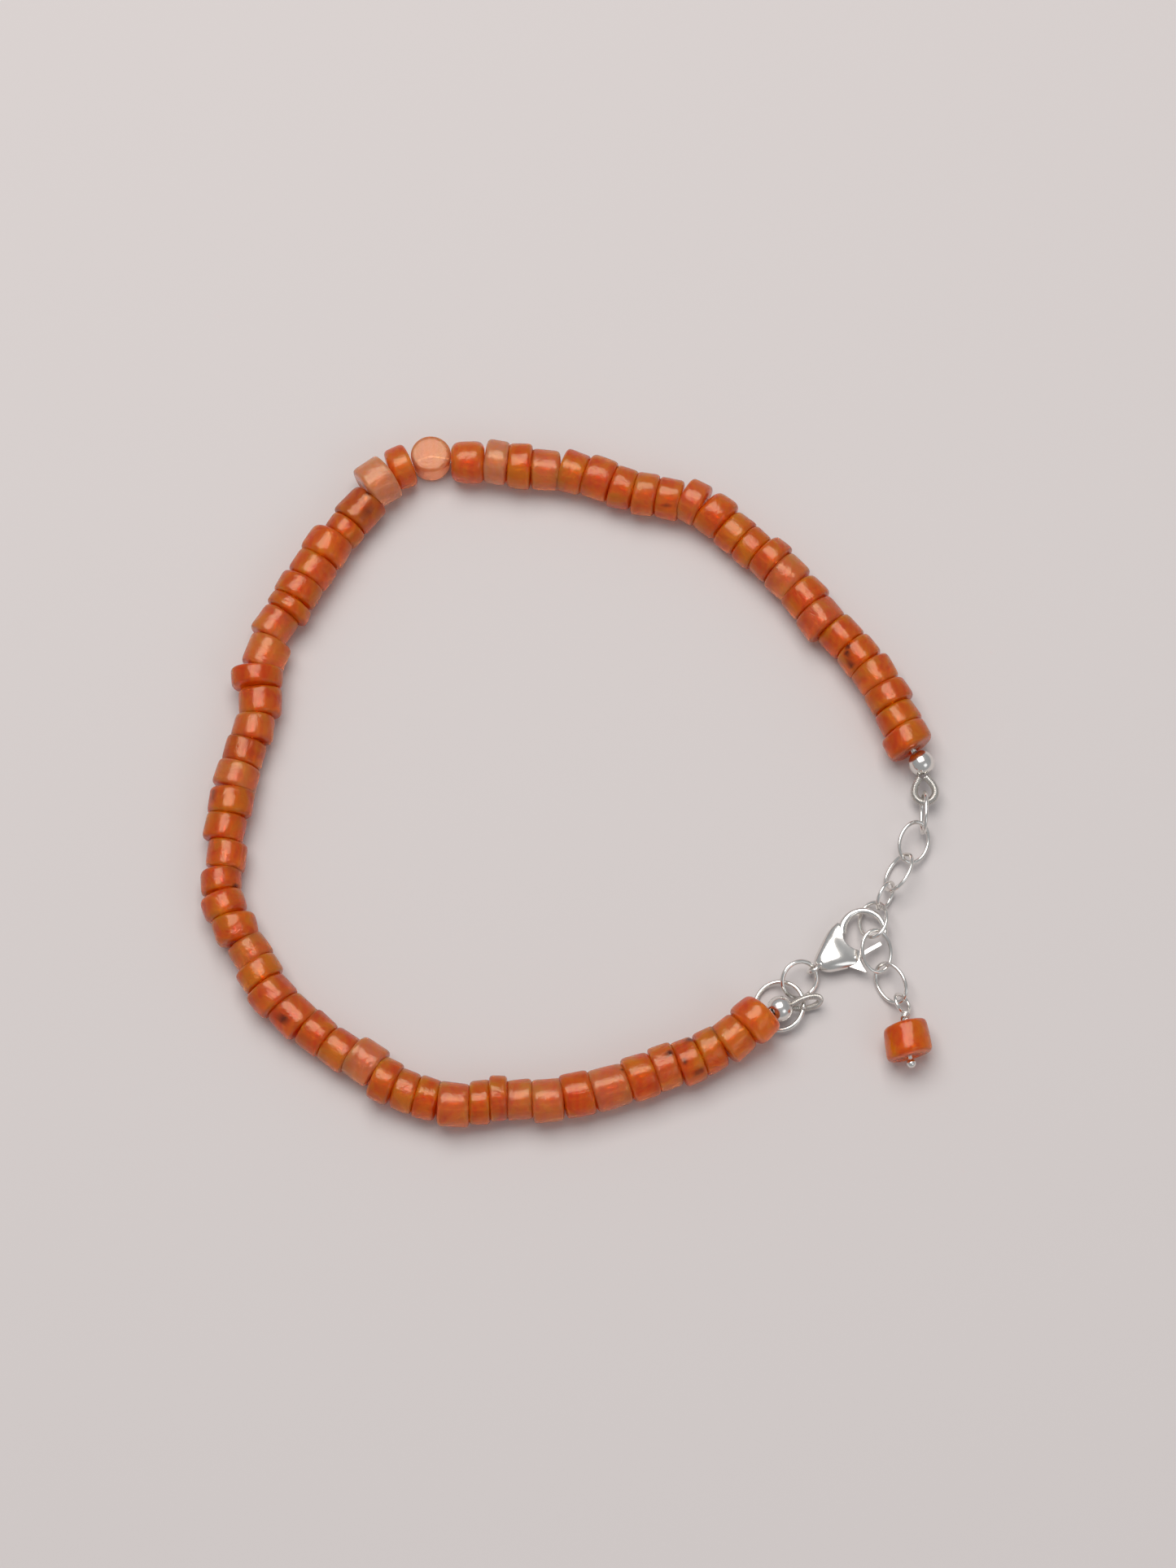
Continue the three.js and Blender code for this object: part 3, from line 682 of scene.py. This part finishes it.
def string_thread(material):
    """The thread through all the beads, which shows at the silver beads."""
    points = [Vector(SILVER_BEAD_PLACES["silver_bead_chain_end"][:3])]
    for i, ((middle, _), bead) in enumerate(zip(bead_places(), BEADS)):
        points.append(Vector((middle.x, middle.y, bead[1] / 2 + RISES.get(i, 0.0))))
    points.append(Vector(SILVER_BEAD_PLACES["silver_bead_clasp_end"][:3]))
    radius = bpy.context.scene.bracelet_sizes.thread_radius
    bm = bmesh.new()
    sweep(bm, [at(*point) for point in points], [radius] * len(points), 10)
    return new_piece("bead_thread", bm, material)


def wire_loop(name, material):
    """A jump ring with its cut, or an oval link, in round wire."""
    length, width, wire, cut, place = WIRE_LOOPS[name]
    reach = (length - wire) / 2
    spread = (width - wire) / 2
    start = math.radians(cut)
    step = (2 * math.pi - 2 * start) / (LOOP_STEPS - 1 if cut else LOOP_STEPS)
    points = []
    matrix = placed(place)
    for i in range(LOOP_STEPS):
        a = start + step * (i if cut else i + 0.5)
        points.append(matrix @ (Vector((reach * math.cos(a), spread * math.sin(a), 0)) * MM))
    radius = wire * bpy.context.scene.bracelet_sizes.wire_share / 2 * MM
    bm = bmesh.new()
    sweep(bm, points, [radius] * LOOP_STEPS, LOOP_SIDES, closed=not cut)
    return new_piece(name + "_wire", bm, material)


def coil(bm, points, radius, wire, turns, sides=6, per_turn=12):
    """A wire wound round an open line of points."""
    frames = path_frames(points, False)
    count = int(turns * per_turn)
    line = []
    for k in range(count + 1):
        along = (len(frames) - 1) * k / count
        i = min(int(along), len(frames) - 2)
        part = along - i
        middle = frames[i].translation.lerp(frames[i + 1].translation, part)
        a = 2 * math.pi * turns * k / count
        out = Vector((0, math.cos(a), math.sin(a)))
        before = frames[i].to_3x3() @ out
        after = frames[i + 1].to_3x3() @ out
        line.append(middle + before.lerp(after, part).normalized() * radius)
    sweep(bm, line, [wire] * len(line), sides)


def gimp_loop(name, material):
    """A guard loop: a fine wire coil over the thread, egg shaped, open towards its silver bead."""
    length, width, outer, place = GIMP_LOOPS[name]
    matrix = placed(place)
    steps = GIMP["steps"]
    points = []
    for i in range(steps + 1):
        a = math.radians(-GIMP["half_turn"] + 2 * GIMP["half_turn"] * i / steps)
        x = length * math.cos(a) - GIMP["neck"] * max(0.0, -math.cos(a)) ** 6
        y = width * (1 + GIMP["egg"] * math.cos(a)) * math.sin(a)
        points.append(matrix @ (Vector((x, y, 0)) * MM))
    bm = bmesh.new()
    run = sum((b - a).length for a, b in zip(points, points[1:]))
    turns = run / (GIMP["pitch"] * COIL_WIRE * MM)
    sweep(bm, points, [(outer - GIMP["core"] * COIL_WIRE) * MM] * len(points), 10)
    coil(bm, points, (outer - COIL_WIRE) * MM, COIL_WIRE * MM, turns)
    return new_piece(name + "_coil", bm, material)


def silver_bead(name, material):
    """A round silver bead with turned-in lips at its hole."""
    sizes = bpy.context.scene.bracelet_sizes
    radius = sizes.silver_radius
    bore = sizes.silver_bore
    start = math.asin((bore + SILVER_BEAD["rim"] * MM) / radius)
    rows = []
    for i in range(SILVER_BEAD["rows"] + 1):
        a = start + (math.pi - 2 * start) * i / SILVER_BEAD["rows"]
        rows.append((-radius * math.cos(a), radius * math.sin(a)))
    lip = rows[0][0] + SILVER_BEAD["lip"] * MM
    wall = [(lip, bore), *rows, (-lip, bore)]
    bm = bmesh.new()
    turned(bm, wall, SILVER_BEAD["sides"], True)
    bmesh.ops.transform(bm, matrix=placed(SILVER_BEAD_PLACES[name]), verts=bm.verts)
    return new_piece(name + "_cover", bm, material)


def merged(name, shells, material, cutters):
    """Closed shells grown into one casting with soft edges, then cut by the cutters."""
    voxel, rounds = GROWN[name]
    whole = bmesh.new()
    for shell in shells:
        mesh = bpy.data.meshes.new("shell")
        shell.to_mesh(mesh)
        shell.free()
        whole.from_mesh(mesh)
        bpy.data.meshes.remove(mesh)
    piece = new_piece(name, whole, material)
    remesh = piece.modifiers.new("grow", "REMESH")
    remesh.mode = "VOXEL"
    remesh.voxel_size = voxel * MM
    soften = piece.modifiers.new("soften", "SMOOTH")
    soften.factor = 0.5
    soften.iterations = rounds
    helpers = []
    for cutter in cutters:
        helper = new_piece("cutter", cutter, material)
        helpers.append(helper)
        cut = piece.modifiers.new("cut", "BOOLEAN")
        cut.operation = "DIFFERENCE"
        cut.solver = "EXACT"
        cut.object = helper
    depsgraph = bpy.context.evaluated_depsgraph_get()
    finished = bpy.data.meshes.new_from_object(piece.evaluated_get(depsgraph))
    finished.name = name
    piece.modifiers.clear()
    rough = piece.data
    piece.data = finished
    bpy.data.meshes.remove(rough)
    for helper in helpers:
        mesh = helper.data
        bpy.data.objects.remove(helper)
        bpy.data.meshes.remove(mesh)
    finished.shade_smooth()
    return piece


def cylinder(radius, half_height, sides=32, middle=(0, 0, 0), stretch=(1, 1)):
    """A disc or rod about Z, in mm, possibly oval."""
    bm = bmesh.new()
    bmesh.ops.create_cone(
        bm, cap_ends=True, segments=sides, radius1=radius * MM, radius2=radius * MM,
        depth=2 * half_height * MM,
    )
    bmesh.ops.scale(bm, verts=bm.verts, vec=(*stretch, 1))
    bmesh.ops.translate(bm, verts=bm.verts, vec=Vector(middle) * MM)
    return bm


def plate(outline, half_height):
    """A flat plate about Z with the outline, in mm."""
    bm = bmesh.new()
    face = bm.faces.new([bm.verts.new((x * MM, y * MM, -half_height * MM)) for x, y in outline])
    made = bmesh.ops.extrude_face_region(bm, geom=[face])["geom"]
    top = [g for g in made if isinstance(g, bmesh.types.BMVert)]
    bmesh.ops.translate(bm, verts=top, vec=(0, 0, 2 * half_height * MM))
    bmesh.ops.recalc_face_normals(bm, faces=bm.faces)
    return bm


def on_clasp(bm, local=None):
    """Moves a mesh from the clasp's own frame, or a local one in it, to its place."""
    matrix = placed(CLASP_PLACE)
    if local is not None:
        matrix = matrix @ local
    bmesh.ops.transform(bm, matrix=matrix, verts=bm.verts)
    return bm


def cast_body():
    """The clasp's solid part: a rod about X, drawn out to the clasp's sections."""
    rows = [Vector(row) for row in BODY_SECTIONS]
    start = rows[0][0]
    length = rows[-1][0] - start
    bm = bmesh.new()
    bmesh.ops.create_cone(
        bm, cap_ends=True, segments=BODY_SIDES, radius1=1, radius2=1, depth=2,
        matrix=Matrix.Rotation(math.pi / 2, 4, "Y"),
    )
    long_edges = [e for e in bm.edges if abs(e.verts[0].co.x - e.verts[1].co.x) > 1]
    bmesh.ops.subdivide_edges(bm, edges=long_edges, cuts=BODY_CUTS)
    steps = SECTION_STEPS * (len(rows) - 1)
    table = [spline_point(rows, i / SECTION_STEPS) for i in range(steps)] + [rows[-1]]
    stations, *edges = zip(*table)
    for vert in bm.verts:
        x = start + length * (vert.co.x + 1) / 2
        right, left, half = (float(np.interp(x, stations, edge)) for edge in edges)
        across = math.copysign(abs(vert.co.y) ** BODY_SQUARENESS, vert.co.y)
        y = (left + right) / 2 + (left - right) / 2 * across
        vert.co = Vector((x, y, half * vert.co.z)) * MM
    return on_clasp(bm)


def hook_arm():
    """The hook, thinner at its tip and thicker where it leaves the body."""
    points = []
    radii = []
    for i in range(HOOK["steps"] + 1):
        share = i / HOOK["steps"]
        a = math.radians(HOOK["from"] + (HOOK["to"] - HOOK["from"]) * share)
        x = HOOK["x"] + HOOK["radius"] * math.cos(a)
        points.append(Vector((x, HOOK["radius"] * math.sin(a), 0)) * MM)
        wire = HOOK["tip"] + (HOOK["wire"] - HOOK["tip"]) * min(1, HOOK["thickening"] * share)
        root = max(0.0, share - HOOK["root_from"]) / (1 - HOOK["root_from"])
        radii.append((wire + HOOK["root"] * root) * MM)
    bm = bmesh.new()
    sweep(bm, points, radii, 20)
    return on_clasp(bm)


def round_loop(bm, matrix, radius, wire, steps):
    """A closed ring of wire about the matrix's Z axis, all in metres."""
    angles = [2 * math.pi * i / steps for i in range(steps)]
    points = [matrix @ Vector((radius * math.cos(a), radius * math.sin(a), 0)) for a in angles]
    sweep(bm, points, [wire] * steps, 16, closed=True)


def clasp_eye():
    """The ring at the clasp's back end, upright but tilted a little."""
    tilt = Matrix.Rotation(math.radians(90 + EYE["tilt"]), 4, "X")
    local = Matrix.Translation(Vector(EYE["place"]) * MM) @ tilt
    bm = bmesh.new()
    round_loop(bm, local, EYE["radius"] * MM, EYE["wire"] * MM, EYE["steps"])
    return on_clasp(bm)


def gate_outline(grow):
    """Outline of the gate bar about the pivot, grown all round."""
    half = GATE["half_width"] + grow
    length = GATE["length"] + grow
    turned_by = Matrix.Rotation(math.radians(GATE["heading"]), 2)
    corners = [(0, -half), (length, -half), (length, half), (0, half)]
    return [tuple(turned_by @ Vector(corner)) for corner in corners]


def tab_outline(grow):
    """Outline of the thumb tab about the pivot, grown all round."""
    middle = sum(x for x, _ in THUMB_TAB) / len(THUMB_TAB)
    grown = [(x + math.copysign(grow, x - middle), y - grow) for x, y in THUMB_TAB]
    return [*grown, (grown[2][0], TAB_ROOT + grow), (grown[0][0], TAB_ROOT + grow)]


def pocket_cutters():
    """The room that the lever sweeps between its stops."""
    grow = LEVER_CLEARANCE
    half = LEVER_HALF + grow
    cutters = [on_clasp(cylinder(LEVER_BOSS + grow, half), Matrix.Translation(PIVOT * MM))]
    for outline in (gate_outline(grow), tab_outline(grow)):
        for share in (0.0, 0.5, 1.0):
            swing = Matrix.Rotation(math.radians(HINGE["range_deg"][1] * share), 4, "Z")
            cutters.append(on_clasp(plate(outline, half), Matrix.Translation(PIVOT * MM) @ swing))
    return cutters


def clasp_body(material):
    """The clasp's casting with its hollow and the lever's pocket, and the pin in it."""
    oval = (HOLLOW["half_length"], HOLLOW["half_width"])
    hollow = cylinder(1, HOLLOW["half_depth"], 64, (HOLLOW["x"], 0, 0), oval)
    cast = merged("cast", [cast_body()], material, [on_clasp(hollow)])
    bm = bmesh.new()
    bm.from_mesh(cast.data)
    mesh = cast.data
    bpy.data.objects.remove(cast)
    bpy.data.meshes.remove(mesh)
    shells = [bm, hook_arm(), clasp_eye()]
    piece = merged("clasp_body_cast", shells, material, pocket_cutters())
    pin = cylinder(PIVOT_PIN["radius"], PIVOT_PIN["half"], 24, PIVOT)
    rims = [e for f in pin.faces if len(f.verts) > 4 for e in f.edges]
    bmesh.ops.bevel(
        pin, geom=rims, offset=PIVOT_PIN["bevel"] * MM, offset_type="OFFSET", segments=3,
        profile=0.5, affect="EDGES", material=-1,
    )
    return piece, new_piece("clasp_pin", on_clasp(pin), material)


def clasp_lever(material):
    """The gate bar, its boss and its thumb tab, about the pivot."""
    pivot = Matrix.Translation(PIVOT * MM)
    shells = [
        on_clasp(plate(gate_outline(0), LEVER_HALF), pivot),
        on_clasp(plate(tab_outline(0), LEVER_HALF), pivot),
        on_clasp(cylinder(LEVER_BOSS, LEVER_HALF), pivot),
    ]
    hole = on_clasp(cylinder(PIVOT_HOLE, 1, 24), pivot)
    return merged("clasp_lever_cast", shells, material, [hole])


def charm_stone(material):
    """The charm's bead: wider at one side of its far end, as it was cut."""
    draw = random.Random(SEED + 1)
    bm = bead_mesh(
        CHARM_BEAD["number"], CHARM_BEAD["length"], CHARM_BEAD["diameter"],
        CHARM_BEAD["roundness"], draw, CHARM_BEAD["slant"])
    paint(bm, CHARM_BEAD["length"] / 2 * MM, 0.0, CHARM_BEAD["number"], draw)
    bmesh.ops.transform(bm, matrix=placed(CHARM_BEAD_PLACE), verts=bm.verts)
    return new_piece("charm_stone", bm, material)


def charm_pin(material):
    """A pin with a ball below the bead, and a wrapped eye loop above it."""
    bead = placed(CHARM_BEAD_PLACE)
    eye = placed(EYE_LOOP_PLACE)
    reach = HEADPIN["reach"]
    wire = HEADPIN["wire"] / 2 * MM
    radius = HEADPIN["loop_radius"] * MM
    ball_middle = bead @ (Vector((reach + HEADPIN["ball"] + HEADPIN["ball_gap"], 0, 0)) * MM)
    neck = bead @ (Vector((-reach - HEADPIN["neck"], 0, 0)) * MM)
    foot = eye @ Vector((radius, 0, 0))
    bm = bmesh.new()
    round_loop(bm, eye, radius, wire, 48)
    sweep(bm, [ball_middle, bead.translation, neck, foot], [wire] * 4, 16)
    wraps = [neck.lerp(foot, i / 8 * HEADPIN["wrap_share"]) for i in range(9)]
    coil(
        bm, wraps, HEADPIN["wrap_radius"] * MM, HEADPIN["wrap_wire"] * MM, HEADPIN["wraps"],
        sides=10, per_turn=16)
    bmesh.ops.create_uvsphere(
        bm, u_segments=32, v_segments=20, radius=HEADPIN["ball"] * MM,
        matrix=Matrix.Translation(ball_middle),
    )
    return new_piece("charm_pin_wire", bm, material)


class BRACELET_PG_sizes(bpy.types.PropertyGroup):
    """Sizes of the holes, the thread, the silver beads and the wire."""

    hole_radius: bpy.props.FloatProperty(
        name="Bead hole", description="Radius of the hole through a stone bead",
        default=0.42 * MM, precision=5, unit="LENGTH")
    thread_radius: bpy.props.FloatProperty(
        name="Thread", description="Radius of the thread through the beads",
        default=0.25 * MM, precision=5, unit="LENGTH")
    silver_radius: bpy.props.FloatProperty(
        name="Silver bead", description="Radius of a silver bead",
        default=1.18 * MM, precision=5, unit="LENGTH")
    silver_bore: bpy.props.FloatProperty(
        name="Silver bead's hole", description="Radius of the hole through a silver bead",
        default=0.42 * MM, precision=5, unit="LENGTH")
    wire_share: bpy.props.FloatProperty(
        name="Wire share", description="Drawn wire against the CAD's, which is a little bolder",
        default=0.92, subtype="FACTOR")


class BRACELET_PG_colours(bpy.types.PropertyGroup):
    """Colours of the stones and the silver."""

    deep: bpy.props.FloatVectorProperty(
        name="Deep", description="Deepest orange of the stone", subtype="COLOR", size=3,
        default=(0.86, 0.090, 0.0))
    middle: bpy.props.FloatVectorProperty(
        name="Middle", description="Main orange of the stone", subtype="COLOR", size=3,
        default=(0.99, 0.165, 0.0))
    light: bpy.props.FloatVectorProperty(
        name="Light", description="Light orange of the stone", subtype="COLOR", size=3,
        default=(1.0, 0.28, 0.003))
    pale: bpy.props.FloatVectorProperty(
        name="Pale", description="Colour that pale beads lean to", subtype="COLOR", size=3,
        default=(1.0, 0.52, 0.32))
    dark: bpy.props.FloatVectorProperty(
        name="Dark", description="Colour that dark beads lean to", subtype="COLOR", size=3,
        default=(0.44, 0.060, 0.012))
    inclusion: bpy.props.FloatVectorProperty(
        name="Inclusion", description="Colour of the dark spots in the stone", subtype="COLOR",
        size=3, default=(0.12, 0.012, 0.003))
    silver: bpy.props.FloatVectorProperty(
        name="Silver", description="Colour of the polished silver", subtype="COLOR", size=3,
        default=(0.93, 0.92, 0.9))


class BRACELET_PG_stage(bpy.types.PropertyGroup):
    """Light and floor."""

    key_power: bpy.props.FloatProperty(
        name="Key light", description="Power of the large soft light", default=3.9,
        unit="POWER")
    fill_power: bpy.props.FloatProperty(
        name="Fill light", description="Power of the light from the camera's side", default=0.3,
        unit="POWER")
    floor_colour: bpy.props.FloatVectorProperty(
        name="Floor", description="Colour of the plain floor", subtype="COLOR", size=3,
        default=(0.575, 0.535, 0.525))


class BRACELET_OT_beads(bpy.types.Operator):
    """String of carnelian beads"""

    bl_idname = "bracelet.beads"
    bl_label = "Bead string"

    def execute(self, context):
        stone, _, coiled = finishes()
        settle(string_beads(stone), "bracelet", "carnelian", "bead_string")
        settle(string_thread(coiled), "bracelet", "gimp_wire")
        return {"FINISHED"}


class BRACELET_OT_findings(bpy.types.Operator):
    """Silver beads, guard loops, jump rings and chain links"""

    bl_idname = "bracelet.findings"
    bl_label = "Silver findings"

    def execute(self, context):
        _, silver, coiled = finishes()
        for name in SILVER_BEAD_PLACES:
            settle(silver_bead(name, silver), "bracelet", "silver", name)
        for name in GIMP_LOOPS:
            settle(gimp_loop(name, coiled), "bracelet", "gimp_wire", name)
        for name in WIRE_LOOPS:
            settle(wire_loop(name, silver), "bracelet", "silver", name)
        return {"FINISHED"}


class BRACELET_OT_clasp(bpy.types.Operator):
    """Trigger clasp with its lever"""

    bl_idname = "bracelet.clasp"
    bl_label = "Clasp"

    def execute(self, context):
        _, silver, _ = finishes()
        body, pin = clasp_body(silver)
        settle(body, "bracelet", "silver", "clasp_body")
        settle(pin, "bracelet", "silver")
        settle(clasp_lever(silver), "lever", "silver", "clasp_lever")
        return {"FINISHED"}


class BRACELET_OT_charm(bpy.types.Operator):
    """Charm: a stone bead on a wrapped pin"""

    bl_idname = "bracelet.charm"
    bl_label = "Charm"

    def execute(self, context):
        stone, silver, _ = finishes()
        settle(charm_stone(stone), "bracelet", "carnelian", "charm_bead")
        settle(charm_pin(silver), "bracelet", "silver", "charm_headpin")
        return {"FINISHED"}


class BRACELET_OT_stage(bpy.types.Operator):
    """Floor, lights and camera"""

    bl_idname = "bracelet.stage"
    bl_label = "Stage"

    def execute(self, context):
        stage = context.scene.bracelet_stage
        add_floor(stage.floor_colour)
        add_lights(stage)
        add_camera()
        context.scene.view_settings.view_transform = "Standard"
        return {"FINISHED"}


def add_floor(colour):
    """A plain matt floor under the bracelet."""
    bm = bmesh.new()
    bmesh.ops.create_grid(bm, x_segments=2, y_segments=2, size=FLOOR_SIZE)
    material = bpy.data.materials.new("plain_floor")
    material.use_nodes = True
    shader = material.node_tree.nodes["Principled BSDF"]
    shader.inputs["Base Color"].default_value = (*colour, 1.0)
    shader.inputs["Roughness"].default_value = 0.9
    floor = new_piece("floor", bm, material, smooth=False)


def area_light(name, power):
    """One of the soft lights, facing the origin."""
    place = Vector(LIGHTS[name]["place"])
    light = bpy.data.lights.new(name, "AREA")
    light.shape = "RECTANGLE"
    light.size, light.size_y = LIGHTS[name]["size"]
    light.energy = power
    light.color = LIGHTS[name]["colour"]
    lamp = bpy.data.objects.new(name, light)
    lamp.location = place
    lamp.rotation_euler = (-place).to_track_quat("-Z", "Y").to_euler()
    bpy.context.scene.collection.objects.link(lamp)


def add_lights(stage):
    world = bpy.data.worlds.new("studio")
    world.use_nodes = True
    background = world.node_tree.nodes["Background"]
    background.inputs["Color"].default_value = WORLD_COLOUR
    background.inputs["Strength"].default_value = WORLD_STRENGTH
    bpy.context.scene.world = world
    area_light("key_light", stage.key_power)
    area_light("fill_light", stage.fill_power)


def add_camera():
    """The camera, at the photograph's angle and framing."""
    camera_data = bpy.data.cameras.new("photo_view")
    camera_data.sensor_fit = "VERTICAL"
    camera_data.sensor_height = CAMERA_SENSOR
    camera_data.lens = CAMERA_FOCAL
    camera_data.clip_start = CAMERA_CLIP
    camera = bpy.data.objects.new("photo_view", camera_data)
    camera.location = (CAMERA_PLACE + DRAWING) * MM
    camera.rotation_euler = (math.radians(CAMERA_TILT), 0, 0)
    bpy.context.scene.collection.objects.link(camera)
    bpy.context.scene.camera = camera


class BRACELET_PT_panel(bpy.types.Panel):
    """Lists the bracelet's pieces"""

    bl_idname = "BRACELET_PT_panel"
    bl_label = "Gemstone bracelet"
    bl_space_type = "VIEW_3D"
    bl_region_type = "UI"
    bl_category = "Bracelet"

    def draw(self, context):
        for operator in OPERATORS:
            self.layout.operator(operator.bl_idname)


OPERATORS = (
    BRACELET_OT_stage, BRACELET_OT_beads, BRACELET_OT_findings, BRACELET_OT_clasp,
    BRACELET_OT_charm,
)
CLASSES = (
    BRACELET_PG_sizes, BRACELET_PG_colours, BRACELET_PG_stage, *OPERATORS, BRACELET_PT_panel,
)


def register():
    for cls in CLASSES:
        bpy.utils.register_class(cls)
    bpy.types.Scene.bracelet_sizes = bpy.props.PointerProperty(type=BRACELET_PG_sizes)
    bpy.types.Scene.bracelet_colours = bpy.props.PointerProperty(type=BRACELET_PG_colours)
    bpy.types.Scene.bracelet_stage = bpy.props.PointerProperty(type=BRACELET_PG_stage)


def unregister():
    del bpy.types.Scene.bracelet_stage
    del bpy.types.Scene.bracelet_colours
    del bpy.types.Scene.bracelet_sizes
    for cls in reversed(CLASSES):
        bpy.utils.unregister_class(cls)


def main():
    register()
    bpy.ops.bracelet.stage()
    bpy.ops.bracelet.beads()
    bpy.ops.bracelet.findings()
    bpy.ops.bracelet.clasp()
    bpy.ops.bracelet.charm()


if __name__ == "__main__":
    main()
